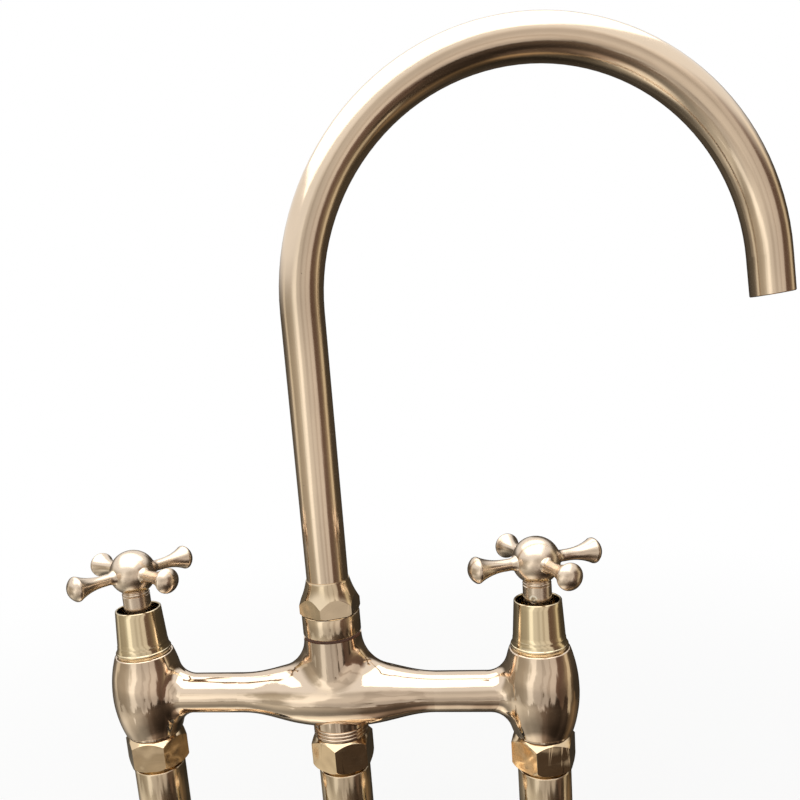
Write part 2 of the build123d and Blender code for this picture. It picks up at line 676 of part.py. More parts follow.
            Circle(GRUB_R)
        extrude(amount=HANDLE_NECK_R + 1, mode=Mode.SUBTRACT)
    handle_hub.part.label = f"{name}_handle_hub"
    export_step(handle_hub.part, f"parts/{name}_handle_hub.step")

    with BuildPart() as grub_screw:
        grub_start = tuple(origin + SQUARE / 2 * way for origin, way in zip(grub_origin, grub_out))
        with BuildSketch(Plane(origin=grub_start, z_dir=grub_out)):
            Circle(GRUB_R)
        extrude(amount=3.3)
        with BuildSketch(Plane(origin=grub_start, z_dir=grub_out).offset(1.7)):
            RegularPolygon(1.0, 6, major_radius=False)
        extrude(amount=1.6, mode=Mode.SUBTRACT)
    grub_screw.part.label = f"{name}_grub_screw"
    export_step(grub_screw.part, f"parts/{name}_grub_screw.step")

    # Four turned arms with trumpet flares and domed ends, each on its own threaded stud
    with BuildPart() as handle_arms:
        for step in range(4):
            angle = radians(arm_angle + 90 * step)
            outward = (cos(angle), sin(angle), 0)
            ball_centre = (x, 0, BRIDGE_HEIGHT + BALL_HEIGHT)
            arm_plane = Plane(origin=ball_centre, x_dir=outward, z_dir=(sin(angle), -cos(angle), 0))
            with BuildSketch(arm_plane):
                with BuildLine():
                    dome = CenterArc((ARM_TIP - ARM_DOME_R, 0), ARM_DOME_R, 0, 52)
                    Polyline(
                        dome @ 0,
                        (ARM_STUD_END, 0),
                        (ARM_STUD_END, ARM_STUD_R),
                        (ARM_SEAT, ARM_STUD_R),
                        (ARM_SEAT, ARM_FOOT_R),
                    )
                    waist_start = (ARM_WAIST[0], ARM_WAIST_R)
                    waist_end = (ARM_WAIST[1], ARM_WAIST_R)
                    ThreePointArc((ARM_SEAT, ARM_FOOT_R), (12.3, 3.15), waist_start)
                    Line(waist_start, waist_end)
                    ThreePointArc(waist_end, (24.2, 3.89), ARM_FLARE)
                    ThreePointArc(ARM_FLARE, (ARM_FLARE[0] + 1.2, ARM_FLARE[1] + 0.35), dome @ 1)
                make_face()
            revolve(axis=Axis(ball_centre, outward))
    handle_arms.part.label = f"{name}_handle_arms"
    export_step(handle_arms.part, f"parts/{name}_handle_arms.step")

with BuildPart() as bonnet_seals:
    for x in (-COLUMN_PITCH, COLUMN_PITCH):
        with BuildSketch(upright(x)):
            with Locations((SEAL_GROOVE_R + 0.6, BARREL_TOP - 1.3)):
                Circle(SEAL_R)
        revolve(axis=column_axis(x))
bonnet_seals.part.label = "bonnet_seals"
export_step(bonnet_seals.part, "parts/bonnet_seals.step")


# Swivel joint: fixed socket with its washer, thrust washer and cap nut
with BuildPart() as spout_socket:
    with BuildSketch(upright(0)):
        with BuildLine():
            Polyline(
                (SOCKET_BORE_R, SOCKET_THREAD_BOTTOM + 0.2),
                (SOCKET_THREAD_R, SOCKET_THREAD_BOTTOM + 0.2),
                (SOCKET_THREAD_R, COLLAR_BOTTOM),
                (COLLAR_R - 0.5, COLLAR_BOTTOM),
                (COLLAR_R, COLLAR_BOTTOM + 0.5),
                (COLLAR_R, COLLAR_TOP - 0.3),
                (COLLAR_R - 0.3, COLLAR_TOP),
                (CAP_THREAD_R, COLLAR_TOP),
                (CAP_THREAD_R, SOCKET_TOP),
                (SOCKET_BORE_R, SOCKET_TOP),
                close=True,
            )
        make_face()
    revolve(axis=column_axis(0))
spout_socket.part.label = "spout_socket"
export_step(spout_socket.part, "parts/spout_socket.step")

with BuildPart() as socket_washer:
    with BuildSketch(level(0, HUB_TOP)):
        Circle(13.6)
        Circle(SOCKET_THREAD_R, mode=Mode.SUBTRACT)
    extrude(amount=COLLAR_BOTTOM - HUB_TOP)
socket_washer.part.label = "socket_washer"
export_step(socket_washer.part, "parts/socket_washer.step")

with BuildPart() as thrust_washer:
    with BuildSketch(level(0, SOCKET_TOP)):
        Circle(STEM_COLLAR_R + 0.1)
        Circle(SOCKET_BORE_R + 0.3, mode=Mode.SUBTRACT)
    extrude(amount=THRUST_WASHER)
thrust_washer.part.label = "thrust_washer"
export_step(thrust_washer.part, "parts/thrust_washer.step")

with BuildPart() as spout_cap_nut:
    with BuildSketch(level(0, CAP_BOTTOM)):
        RegularPolygon(CAP_FLATS / 2, 6, major_radius=False, rotation=CAP_TURN)
    extrude(amount=CAP_TOP - CAP_BOTTOM)
    # Long hollowed cone that runs out to the tube, and the chamfer under the corners
    with BuildSketch(upright(0)):
        with BuildLine():
            cone_foot = (CAP_CORNER_R + 0.1, CAP_CONE_BOTTOM)
            cone_head = (SPOUT_R + 0.4, CAP_TOP)
            ThreePointArc(cone_foot, (CAP_FLATS / 2 - 0.1, CAP_CONE_BOTTOM + 4.3), cone_head)
            Polyline(
                cone_head,
                (0, CAP_TOP),
                (0, CAP_BOTTOM),
                (CAP_FOOT_R, CAP_BOTTOM),
                (CAP_CORNER_R + 0.1, CAP_BOTTOM + 1.0),
                cone_foot,
            )
        make_face()
    revolve(axis=column_axis(0), mode=Mode.INTERSECT)
    with BuildSketch(upright(0)):
        with BuildLine():
            Polyline(
                (0, CAP_BOTTOM),
                (CAP_THREAD_R, CAP_BOTTOM),
                (CAP_THREAD_R, SOCKET_TOP + 0.1),
                (STEM_COLLAR_R + 0.3, SOCKET_TOP + 0.1),
                (STEM_COLLAR_R + 0.3, STEM_COLLAR_TOP + 0.1),
                (SPOUT_R + 0.06, STEM_COLLAR_TOP + 0.1),
                (SPOUT_R + 0.06, CAP_TOP),
                (0, CAP_TOP),
                close=True,
            )
        make_face()
    revolve(axis=column_axis(0), mode=Mode.SUBTRACT)
spout_cap_nut.part.label = "spout_cap_nut"
export_step(spout_cap_nut.part, "parts/spout_cap_nut.step")


# Spout: swivel stem with two O-rings, gooseneck tube, outlet nozzle and recessed aerator
with BuildPart() as spout_stem:
    with BuildSketch(upright(0)):
        with BuildLine():
            Polyline(
                (STEM_BORE_R, STEM_BOTTOM),
                (STEM_R - 0.8, STEM_BOTTOM),
                (STEM_R, STEM_BOTTOM + 0.8),
                (STEM_R, STEM_COLLAR_BOTTOM),
                (STEM_COLLAR_R, STEM_COLLAR_BOTTOM),
                (STEM_COLLAR_R, STEM_COLLAR_TOP),
                (SPOUT_BORE_R, STEM_COLLAR_TOP),
                (SPOUT_BORE_R, STEM_TOP),
                (STEM_BORE_R, STEM_TOP),
                close=True,
            )
        make_face()
    revolve(axis=column_axis(0))
    for height in O_RING_HEIGHTS:
        with BuildSketch(upright(0)):
            with Locations((STEM_R, height)):
                Rectangle(3.8, 2.4)
        revolve(axis=column_axis(0), mode=Mode.SUBTRACT)
spout_stem.part.label = "spout_stem"
export_step(spout_stem.part, "parts/spout_stem.step")

with BuildPart() as spout_o_rings:
    for height in O_RING_HEIGHTS:
        with BuildSketch(upright(0)):
            with Locations((STEM_R - O_RING_R, height)):
                Circle(O_RING_R)
        revolve(axis=column_axis(0))
spout_o_rings.part.label = "spout_o_rings"
export_step(spout_o_rings.part, "parts/spout_o_rings.step")

swivel = radians(SPOUT_ANGLE)
spout_plane = Plane(
    origin=(0, 0, BRIDGE_HEIGHT),
    x_dir=(cos(swivel), sin(swivel), 0),
    z_dir=(sin(swivel), -cos(swivel), 0),
)
with BuildPart() as spout_tube:
    with BuildLine(spout_plane) as gooseneck:
        riser = Line((0, STEM_COLLAR_TOP), (0, ARC_START))
        JernArc(start=riser @ 1, tangent=riser % 1, radius=ARC_R, arc_size=-ARC_ANGLE)
    with BuildSketch(level(0, STEM_COLLAR_TOP)):
        Circle(SPOUT_R)
        Circle(SPOUT_BORE_R, mode=Mode.SUBTRACT)
    sweep(path=gooseneck.line)
spout_tube.part.label = "spout_tube"
export_step(spout_tube.part, "parts/spout_tube.step")

outlet = Plane(origin=gooseneck.line @ 1, z_dir=gooseneck.line % 1)
with BuildPart() as spout_nozzle:
    with BuildSketch(outlet):
        Circle(SPOUT_R)
    extrude(amount=NOZZLE_LENGTH)
    chamfer(spout_nozzle.faces().sort_by(Axis(outlet.origin, outlet.z_dir))[-1].edges(), 0.4)
    with BuildSketch(outlet):
        Circle(SPOUT_BORE_R - 0.4)
    extrude(amount=-6.0)
    with BuildSketch(outlet.offset(-6.0)):
        Circle(7.6)
    extrude(amount=NOZZLE_LENGTH, mode=Mode.SUBTRACT)
    with BuildSketch(outlet.offset(NOZZLE_LENGTH - AERATOR_DEPTH)):
        Circle(AERATOR_R)
    extrude(amount=AERATOR_DEPTH, mode=Mode.SUBTRACT)
spout_nozzle.part.label = "spout_nozzle"
export_step(spout_nozzle.part, "parts/spout_nozzle.step")

aerator_top = outlet.offset(NOZZLE_LENGTH - AERATOR_DEPTH)
with BuildPart() as aerator_seal:
    with BuildSketch(aerator_top):
        Circle(AERATOR_R)
        Circle(7.6, mode=Mode.SUBTRACT)
    extrude(amount=1.5)
aerator_seal.part.label = "aerator_seal"
export_step(aerator_seal.part, "parts/aerator_seal.step")

with BuildPart() as aerator_housing:
    with BuildSketch(aerator_top.offset(1.5)):
        Circle(AERATOR_R)
        Circle(8.0, mode=Mode.SUBTRACT)
    extrude(amount=9.0)
    # Two key slots for the fitting tool
    with BuildSketch(aerator_top.offset(9.0)):
        Rectangle(2 * AERATOR_R, 2.0)
    extrude(amount=1.5, mode=Mode.SUBTRACT)
aerator_housing.part.label = "aerator_housing"
export_step(aerator_housing.part, "parts/aerator_housing.step")

with BuildPart() as aerator_insert:
    with BuildSketch(aerator_top.offset(3.0)):
        Circle(8.0)
        with PolarLocations(5.2, 12):
            Rectangle(3.6, 1.3, mode=Mode.SUBTRACT)
        with PolarLocations(1.9, 4):
            Rectangle(1.3, 1.3, mode=Mode.SUBTRACT)
    extrude(amount=5.0)
aerator_insert.part.label = "aerator_insert"
export_step(aerator_insert.part, "parts/aerator_insert.step")
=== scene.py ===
import bmesh
import bpy
from math import ceil, cos, pi, radians, sin
from mathutils import Matrix, Vector


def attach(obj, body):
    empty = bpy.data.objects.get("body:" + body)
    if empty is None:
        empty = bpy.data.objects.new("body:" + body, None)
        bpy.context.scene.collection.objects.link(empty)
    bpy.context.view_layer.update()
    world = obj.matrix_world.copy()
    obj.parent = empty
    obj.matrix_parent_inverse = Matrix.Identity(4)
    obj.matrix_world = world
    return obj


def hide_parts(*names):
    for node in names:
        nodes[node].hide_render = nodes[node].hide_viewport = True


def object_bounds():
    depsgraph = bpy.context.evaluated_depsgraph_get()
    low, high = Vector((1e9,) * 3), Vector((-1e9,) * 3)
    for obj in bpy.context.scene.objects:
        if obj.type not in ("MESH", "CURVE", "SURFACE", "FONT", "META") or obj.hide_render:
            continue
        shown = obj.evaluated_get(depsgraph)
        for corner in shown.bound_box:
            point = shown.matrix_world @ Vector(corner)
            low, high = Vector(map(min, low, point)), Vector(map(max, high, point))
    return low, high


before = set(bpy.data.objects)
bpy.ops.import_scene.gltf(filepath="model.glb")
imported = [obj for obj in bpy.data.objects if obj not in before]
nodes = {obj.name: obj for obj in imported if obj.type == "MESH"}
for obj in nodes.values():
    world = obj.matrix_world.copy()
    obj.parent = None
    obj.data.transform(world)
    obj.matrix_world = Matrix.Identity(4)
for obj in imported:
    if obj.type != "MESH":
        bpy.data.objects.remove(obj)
cad_low, cad_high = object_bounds()


# ---------------------------------------------------------------------------------------------
# Camera: stands in front of the faucet, to the right of the hub and well above the bridge. It
# looks down a little and leans slightly, as the photograph's view does.
camera_place = Vector((0.0943, -0.356576, 0.256708))
camera_yaw = 0.153
camera_pitch = -0.189
camera_roll = -0.074
frame_pixels = 800
focal_pixels = 773.196
sensor_width = 36.0
view_raised_by = 90 / frame_pixels

looking = Vector((
    -sin(camera_yaw) * cos(camera_pitch),
    cos(camera_yaw) * cos(camera_pitch),
    sin(camera_pitch),
))
level_right = Vector((cos(camera_yaw), sin(camera_yaw), 0))
level_up = level_right.cross(looking)
right = level_right * cos(camera_roll) + level_up * sin(camera_roll)
up = level_up * cos(camera_roll) - level_right * sin(camera_roll)

lens = bpy.data.cameras.new("camera")
lens.sensor_width = sensor_width
lens.lens = focal_pixels / frame_pixels * sensor_width
lens.shift_y = view_raised_by
lens.clip_start = 0.01
lens.clip_end = 20
camera = bpy.data.objects.new("camera", lens)
turn = Matrix((right, up, -looking)).transposed()
camera.matrix_world = Matrix.Translation(camera_place) @ turn.to_4x4()
bpy.context.scene.collection.objects.link(camera)
bpy.context.scene.camera = camera
bpy.context.scene.view_settings.view_transform = "Standard"


# ---------------------------------------------------------------------------------------------
# Studio: white sky, a broad soft box overhead, a pale floor at the foot of the shanks, and a
# glowing surround, no lamp, in painted browns that only reflections see: painted reflections that give
# polished metal its dark bands.
def node(tree, kind, **settings):
    """A new node of that kind, with its settings."""
    made = tree.nodes.new(kind)
    for name, value in settings.items():
        setattr(made, name, value)
    return made


def calc(tree, operation, *values):
    """A Math node: each value is a number or another node's output."""
    made = node(tree, "ShaderNodeMath", operation=operation)
    for number, value in enumerate(values):
        if isinstance(value, (int, float)):
            made.inputs[number].default_value = value
        else:
            tree.links.new(value, made.inputs[number])
    return made.outputs[0]


def ramp(tree, factor, stops):
    """A Color Ramp with stops of (place, colour)."""
    made = node(tree, "ShaderNodeValToRGB")
    elements = made.color_ramp.elements
    while len(elements) > 1:
        elements.remove(elements[-1])
    for number, (place, colour) in enumerate(stops):
        element = elements[0] if number == 0 else elements.new(place)
        element.position = place
        element.color = (*colour, 1)
    tree.links.new(factor, made.inputs["Fac"])
    return made.outputs["Color"]


def rise(tree, value, low, high, bottom=0.0, top=1.0, shape="LINEAR"):
    """The bottom value below low, the top value above high and a rise of that shape between."""
    made = node(tree, "ShaderNodeMapRange", interpolation_type=shape)
    for name, number in (("From Min", low), ("From Max", high), ("To Min", bottom), ("To Max", top)):
        made.inputs[name].default_value = number
    tree.links.new(value, made.inputs["Value"])
    return made.outputs[0]


def mix_shaders(tree, share, first, second):
    """The first shader node's light where the share is 0 and the second's where it is 1."""
    made = node(tree, "ShaderNodeMixShader")
    tree.links.new(share, made.inputs["Fac"])
    tree.links.new(first.outputs[0], made.inputs[1])
    tree.links.new(second.outputs[0], made.inputs[2])
    return made.outputs[0]


def mix_colours(tree, share, first, second, blend="MIX"):
    """Two colours blended by that share; each is four numbers or another node's output."""
    made = node(tree, "ShaderNodeMix", data_type="RGBA", blend_type=blend)
    for name, value in (("Factor", share), ("A", first), ("B", second)):
        if isinstance(value, (float, tuple)):
            made.inputs[name].default_value = value
        else:
            tree.links.new(value, made.inputs[name])
    return made.outputs["Result"]


def dressed(name):
    """A new material: itself and its node tree."""
    made = bpy.data.materials.new(name)
    made.use_nodes = True
    return made, made.node_tree


sky_light = 0.42
sky = bpy.data.worlds.new("sky")
bpy.context.scene.world = sky
sky.use_nodes = True
nt = sky.node_tree
nt.nodes.clear()
path = node(nt, "ShaderNodeLightPath")
seen = calc(nt, "MAXIMUM", path.outputs["Is Camera Ray"], path.outputs["Is Glossy Ray"])
seen = calc(nt, "MAXIMUM", seen, path.outputs["Is Transmission Ray"])
fill = node(nt, "ShaderNodeBackground")
fill.inputs["Color"].default_value = (0.96, 0.98, 1.0, 1)
fill.inputs["Strength"].default_value = sky_light
white = node(nt, "ShaderNodeBackground")
white.inputs["Color"].default_value = (1, 1, 1, 1)
nt.links.new(mix_shaders(nt, seen, fill, white), node(nt, "ShaderNodeOutputWorld").inputs["Surface"])

soft_box_width = 2.3
soft_box_place = (-0.25, -0.25, 1.45)
soft_box_brightness = 1.35
box_lamp = bpy.data.lights.new("soft_box", "AREA")
box_lamp.shape = "SQUARE"
box_lamp.size = soft_box_width
box_lamp.energy = soft_box_brightness * pi * soft_box_width ** 2
box_lamp.color = (1.0, 0.985, 0.96)
soft_box = bpy.data.objects.new("soft_box", box_lamp)
soft_box.location = soft_box_place
bpy.context.scene.collection.objects.link(soft_box)

floor_radius = 1.6
floor_gap = 0.0002
floor_level = cad_low[2] - floor_gap
fade_start = 0.15
fade_end = 0.9
least_glow = 0.75
bm = bmesh.new()
bmesh.ops.create_circle(bm, cap_ends=True, segments=96, radius=floor_radius)
bmesh.ops.translate(bm, vec=(0, 0, floor_level), verts=bm.verts)
floor_mesh = bpy.data.meshes.new("floor")
bm.to_mesh(floor_mesh)
bm.free()
floor = bpy.data.objects.new("floor", floor_mesh)
bpy.context.scene.collection.objects.link(floor)
pale, nt = dressed("pale_floor")
nt.nodes.clear()
paint = node(nt, "ShaderNodeBsdfDiffuse")
paint.inputs["Color"].default_value = (0.9, 0.9, 0.89, 1)
glow = node(nt, "ShaderNodeEmission")
glow.inputs["Strength"].default_value = 1.0
place = node(nt, "ShaderNodeTexCoord")
length = node(nt, "ShaderNodeVectorMath", operation="LENGTH")
nt.links.new(place.outputs["Object"], length.inputs[0])
# The camera sees the painted floor fade into the white sky, with the faucet's shadow in its middle
fade = rise(nt, length.outputs["Value"], fade_start, fade_end, bottom=least_glow, shape="SMOOTHSTEP")
path = node(nt, "ShaderNodeLightPath")
shown = calc(nt, "MULTIPLY", path.outputs["Is Camera Ray"], fade)
faded = mix_shaders(nt, shown, paint, glow)
nt.links.new(faded, node(nt, "ShaderNodeOutputMaterial").inputs["Surface"])
floor_mesh.materials.append(pale)
floor.visible_glossy = False

surround_radius = 2.0
surround_top = 38
surround_centre = Vector((0, 0, 0.15))
surround_brightness = 1.6
low_part_edge = (-29, -26)
edge_sway = 60.0
band_sway = 26.0
band_lean = 10
left_dip = 15
glow_fades_from = 20
bm = bmesh.new()
bmesh.ops.create_uvsphere(bm, u_segments=96, v_segments=64, radius=surround_radius)
bmesh.ops.bisect_plane(
    bm, geom=bm.verts[:] + bm.edges[:] + bm.faces[:],
    plane_co=(0, 0, surround_radius * sin(radians(surround_top))), plane_no=(0, 0, 1), clear_outer=True,
)
bmesh.ops.translate(bm, vec=surround_centre, verts=bm.verts)
surround_mesh = bpy.data.meshes.new("surround")
bm.to_mesh(surround_mesh)
bm.free()
surround = bpy.data.objects.new("surround", surround_mesh)
bpy.context.scene.collection.objects.link(surround)
# The surround is no lamp but glows, with tones and light painted on it: painted reflections for the metal
# only
reflection_glow, nt = dressed("painted_reflection_surround")
reflection_glow.cycles.emission_sampling = "NONE"
nt.nodes.clear()
place = node(nt, "ShaderNodeTexCoord")
from_centre = node(nt, "ShaderNodeVectorMath", operation="SUBTRACT")
from_centre.inputs[1].default_value = surround_centre
nt.links.new(place.outputs["Object"], from_centre.inputs[0])
outward = node(nt, "ShaderNodeVectorMath", operation="NORMALIZE")
nt.links.new(from_centre.outputs[0], outward.inputs[0])
parts = node(nt, "ShaderNodeSeparateXYZ")
nt.links.new(outward.outputs[0], parts.inputs[0])
# Azimuth from the front, -Y, towards the right, +X, and elevation, both in degrees
frontward = calc(nt, "MULTIPLY", parts.outputs["Y"], -1)
azimuth = calc(nt, "DEGREES", calc(nt, "ARCTAN2", parts.outputs["X"], frontward))
elevation = calc(nt, "DEGREES", calc(nt, "ARCSINE", parts.outputs["Z"]))


def ramp_by_degrees(tree, degrees, first, last, stops):
    """A Color Ramp over those degrees, with stops of (degrees, colour)."""
    part = calc(tree, "DIVIDE", calc(tree, "SUBTRACT", degrees, first), last - first)
    return ramp(tree, part, [((stop - first) / (last - first), colour) for stop, colour in stops])


wander = node(nt, "ShaderNodeTexNoise")
wander.inputs["Scale"].default_value = 4.0
wander.inputs["Detail"].default_value = 4.0
nt.links.new(outward.outputs[0], wander.inputs["Vector"])
ragged = calc(nt, "SUBTRACT", wander.outputs["Fac"], 0.5)
# The painted reflection's upright bands wander and lean a little
leaning = rise(nt, elevation, -12, 0, top=band_lean)
azimuth = calc(nt, "SUBTRACT", calc(nt, "MULTIPLY_ADD", ragged, band_sway, azimuth), leaning)
high_tones = ramp_by_degrees(nt, azimuth, -180, 180, [
    (-180, (0.035, 0.03, 0.024)),
    (-125, (0.09, 0.08, 0.065)),
    (-104, (0.20, 0.18, 0.15)),
    (-99, (0.53, 0.50, 0.43)),
    (-91, (0.50, 0.46, 0.38)),
    (-85, (0.26, 0.235, 0.19)),
    (-60, (0.32, 0.29, 0.24)),
    (-44, (0.42, 0.40, 0.35)),
    (-37, (0.86, 0.85, 0.81)),
    (-24, (0.88, 0.87, 0.83)),
    (-18, (0.52, 0.50, 0.47)),
    (-2, (0.50, 0.475, 0.445)),
    (0, (0.40, 0.375, 0.345)),
    (4, (0.40, 0.375, 0.345)),
    (6, (0.50, 0.475, 0.445)),
    (20, (0.50, 0.47, 0.44)),
    (22, (0.38, 0.345, 0.31)),
    (26, (0.38, 0.345, 0.31)),
    (28, (0.52, 0.485, 0.45)),
    (43, (0.50, 0.46, 0.43)),
    (48, (0.13, 0.085, 0.065)),
    (58, (0.10, 0.065, 0.05)),
    (72, (0.13, 0.095, 0.07)),
    (80, (0.22, 0.175, 0.12)),
    (85, (0.50, 0.435, 0.32)),
    (96, (0.46, 0.405, 0.30)),
    (101, (0.12, 0.09, 0.06)),
    (113, (0.05, 0.04, 0.028)),
    (180, (0.035, 0.03, 0.024)),
])
low_tones = ramp_by_degrees(nt, azimuth, -180, 180, [
    (-180, (0.03, 0.026, 0.02)),
    (-125, (0.14, 0.13, 0.11)),
    (-105, (0.30, 0.285, 0.25)),
    (-90, (0.56, 0.54, 0.48)),
    (-80, (0.57, 0.55, 0.49)),
    (-65, (0.44, 0.42, 0.37)),
    (-45, (0.44, 0.42, 0.37)),
    (-31, (0.37, 0.35, 0.31)),
    (-14, (0.31, 0.285, 0.25)),
    (-3, (0.24, 0.21, 0.18)),
    (2, (0.15, 0.12, 0.095)),
    (13, (0.13, 0.10, 0.08)),
    (24, (0.08, 0.06, 0.045)),
    (43, (0.045, 0.033, 0.025)),
    (60, (0.03, 0.022, 0.016)),
    (75, (0.055, 0.04, 0.03)),
    (90, (0.03, 0.022, 0.016)),
    (101, (0.10, 0.072, 0.045)),
    (112, (0.18, 0.125, 0.07)),
    (122, (0.09, 0.065, 0.04)),
    (150, (0.03, 0.026, 0.02)),
    (180, (0.03, 0.026, 0.02)),
])
# The painted reflection is darker on the surround's lower part, which begins at a ragged edge
edge_height = calc(nt, "MULTIPLY_ADD", ragged, edge_sway, elevation)
above_edge = rise(nt, edge_height, *low_part_edge, shape="SMOOTHSTEP")
tones = mix_colours(nt, above_edge, low_tones, high_tones)
# Painted light by height: bright round the foot, then dim, then rising towards the soft box
strongest = 2.2
lit_by_height = ramp_by_degrees(nt, elevation, -90, 40, [
    (degrees, (light / strongest,) * 3) for degrees, light in (
        (-90, 0.7), (-82, 1.4), (-72, 2.0), (-63, 1.5), (-57, 0.5), (-49, 0.5), (-40, 0.8), (-33, 1.0),
        (-27, 0.70), (-20, 0.72), (-12, 1.0), (0, 0.98), (12, 0.80), (20, 0.82), (29, 1.2), (38, 1.9),
    )
])
shine = node(nt, "ShaderNodeEmission")
shine.inputs["Strength"].default_value = surround_brightness * strongest
nt.links.new(mix_colours(nt, 1.0, tones, lit_by_height, "MULTIPLY"), shine.inputs["Color"])
open_air = node(nt, "ShaderNodeBsdfTransparent")
# The glowing surround ends lower on the left, so that the sky lights the handles from there
dip = rise(nt, azimuth, 20, -50, top=left_dip, shape="SMOOTHSTEP")
lifted = calc(nt, "ADD", elevation, dip)
fade_out = rise(nt, lifted, glow_fades_from, surround_top, shape="SMOOTHSTEP")
glow_with_open_top = mix_shaders(nt, fade_out, shine, open_air)
nt.links.new(glow_with_open_top, node(nt, "ShaderNodeOutputMaterial").inputs["Surface"])
surround_mesh.materials.append(reflection_glow)
surround.visible_camera = False
surround.visible_diffuse = False
surround.visible_transmission = False
surround.visible_shadow = False


# ---------------------------------------------------------------------------------------------
# Bridge casting: sand-cast brass, linished and buffed to a warm polish. The buffing leaves faint
# waves in the surface, hairlines across it and a few pits.
column_pitch = 0.1016
bridge_height = 0.085
hairline_scale = (40, 40, 2600)
pit_spread = 230
pit_size = 0.05
smooth_share = 0.88


def noise(tree, place, scale, detail=2.0, roughness=0.5):
    """Noise of that scale per metre, at a place."""
    made = node(tree, "ShaderNodeTexNoise")
    made.inputs["Scale"].default_value = scale
    made.inputs["Detail"].default_value = detail
    made.inputs["Roughness"].default_value = roughness
    tree.links.new(place, made.inputs["Vector"])
    return made.outputs["Fac"]


def mapped(tree, place, turn=(0, 0, 0), stretch=(1, 1, 1), move=(0, 0, 0)):
    """A place turned, stretched and moved."""
    made = node(tree, "ShaderNodeMapping")
    made.inputs["Location"].default_value = move
    made.inputs["Rotation"].default_value = turn
    made.inputs["Scale"].default_value = stretch
    tree.links.new(place, made.inputs["Vector"])
    return made.outputs[0]


def effect(name, *values, kind="NodeSocketFloat"):
    """A node group that reads a place and gives out these values: (tree, place, its output node)."""
    tree = bpy.data.node_groups.new(name, "ShaderNodeTree")
    tree.interface.new_socket(name="Place", in_out="INPUT", socket_type="NodeSocketVector")
    for value in values:
        tree.interface.new_socket(name=value, in_out="OUTPUT", socket_type=kind)
    return tree, node(tree, "NodeGroupInput").outputs["Place"], node(tree, "NodeGroupOutput")


def use(tree, group, place):
    """Places a node group in a material."""
    made = node(tree, "ShaderNodeGroup")
    made.node_tree = group
    tree.links.new(place, made.inputs["Place"])
    return made.outputs


buffed, spot, gives = effect("buffed_surface", "Drift", "Haze", "Hairlines", "Pits", "Waves")
buffed.links.new(noise(buffed, spot, 24), gives.inputs["Drift"])
buffed.links.new(noise(buffed, spot, 130, 4, 0.6), gives.inputs["Haze"])
scratches = 0.0
for leaning_by, apart in (((0.5, 0.3, 0.2), 0), ((-0.7, 1.1, 0.4), 3), ((1.3, -0.4, 0.9), 7)):
    lying = mapped(buffed, spot, leaning_by, hairline_scale, (apart, apart, apart))
    lines = rise(buffed, noise(buffed, lying, 1.0, 1.0), 0.70, 0.78)
    scratches = calc(buffed, "MAXIMUM", scratches, lines)
buffed.links.new(scratches, gives.inputs["Hairlines"])
cells = node(buffed, "ShaderNodeTexVoronoi", feature="F1")
cells.inputs["Scale"].default_value = pit_spread
buffed.links.new(spot, cells.inputs["Vector"])
chance = node(buffed, "ShaderNodeSeparateColor")
buffed.links.new(cells.outputs["Color"], chance.inputs[0])
dot = calc(buffed, "LESS_THAN", cells.outputs["Distance"], pit_size)
rare = calc(buffed, "GREATER_THAN", chance.outputs[0], smooth_share)
buffed.links.new(calc(buffed, "MULTIPLY", dot, rare), gives.inputs["Pits"])
buffed.links.new(noise(buffed, spot, 85, 1.0), gives.inputs["Waves"])


def tint(colour, by):
    """A colour made lighter or darker, not past white."""
    return tuple(min(1.0, part * by) for part in colour)


def brass(name, colour, roughness, waves=0.0, hairlines=0.10, haze=0.08, marks=None, marked=0.05):
    """Brass of that colour with the marks of its buffing, and lathe or drawing marks where given."""
    drift = 0.10
    pit_shade = 0.35
    mark_depth = 0.0000012
    made, tree = dressed(name)
    shader = tree.nodes["Principled BSDF"]
    shader.inputs["Metallic"].default_value = 1.0
    where = node(tree, "ShaderNodeTexCoord").outputs["Object"]
    surface = use(tree, buffed, where)
    darker, lighter = tint(colour, 1 - drift), tint(colour, 1 + drift / 2)
    tones = ramp(tree, surface["Drift"], [(0.30, darker), (0.70, lighter)])
    pitted = mix_colours(tree, surface["Pits"], tones, (*tint(colour, pit_shade), 1))
    tree.links.new(pitted, shader.inputs["Base Color"])
    rough = calc(tree, "MULTIPLY_ADD", surface["Haze"], haze, roughness - haze / 2)
    rough = calc(tree, "MULTIPLY_ADD", surface["Hairlines"], hairlines, rough)
    relief = calc(tree, "MULTIPLY", surface["Waves"], waves)
    if marks is not None:
        lines = marks(tree, where)
        rough = calc(tree, "MULTIPLY_ADD", lines, marked, rough)
        relief = calc(tree, "MULTIPLY_ADD", lines, mark_depth, relief)
    tree.links.new(rough, shader.inputs["Roughness"])
    bump = node(tree, "ShaderNodeBump")
    bump.inputs["Distance"].default_value = 1.0
    tree.links.new(relief, bump.inputs["Height"])
    tree.links.new(bump.outputs[0], shader.inputs["Normal"])
    return made


def finish(material, *names):
    """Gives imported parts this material, in the slot that they came with."""
    for name in names:
        nodes[name].data.materials[0] = material


def soften(width, *names):
    """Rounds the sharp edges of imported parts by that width, as buffing leaves them."""
    bluntest_rounded = radians(20)
    for name in names:
        closed = nodes[name].modifiers.new("closed_corners", "WELD")
        closed.merge_threshold = 1e-6
        rounding = nodes[name].modifiers.new("buffed_edges", "BEVEL")
        rounding.width = width
        rounding.segments = 2
        rounding.limit_method = "ANGLE"
        rounding.angle_limit = bluntest_rounded


sides = ("hot", "centre", "cold")
valves = ("hot", "cold")
finish(brass("buffed_cast_brass", (0.76, 0.61, 0.465), 0.085, waves=0.00024, haze=0.05), "bridge_body")


# ---------------------------------------------------------------------------------------------
# Union nuts: hexagon brass bar, faced and coned on a lathe, then buffed, which crowns the flats
# a little and softens the corners. Each holds a flanged tail and a fibre washer against its neck.
leg_nuts = [f"{side}_leg_nut" for side in sides]
finish(brass("buffed_nut_brass", (0.755, 0.57, 0.36), 0.11, waves=0.0007), *leg_nuts)
soften(0.00035, *leg_nuts)

